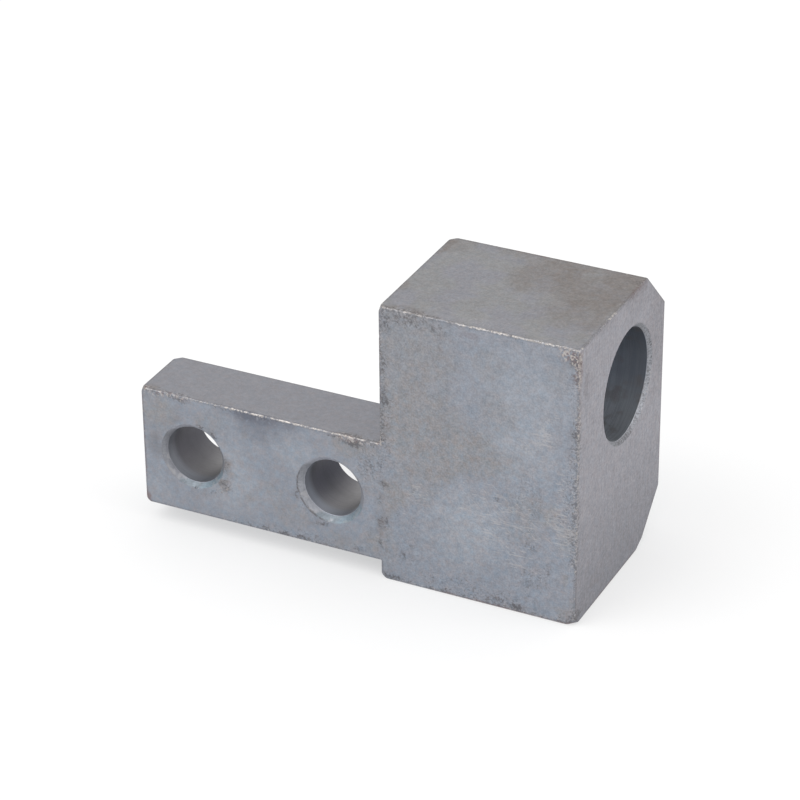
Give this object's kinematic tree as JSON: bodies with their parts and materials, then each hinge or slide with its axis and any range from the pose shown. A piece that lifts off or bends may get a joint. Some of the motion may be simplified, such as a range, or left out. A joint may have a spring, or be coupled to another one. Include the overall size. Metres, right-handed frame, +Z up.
{
  "type": "leadscrew support bracket",
  "caption": "One-piece metal bracket: a bored block with chamfered back edges carries a leadscrew's end, and a flat drilled arm bolts it to a machine's bed.",
  "frame": {"origin": "on the leadscrew bore's axis, midway along the block", "axes": "+X along the bore, out of the end away from the arm; +Y away from the mounting face; +Z up"},
  "size_m": [0.0501, 0.0222, 0.032],
  "materials": {
    "metal": "machined, satin, worn at the edges"
  },
  "bodies": {
    "root": {"bracket": "metal"}
  },
  "joints": []
}
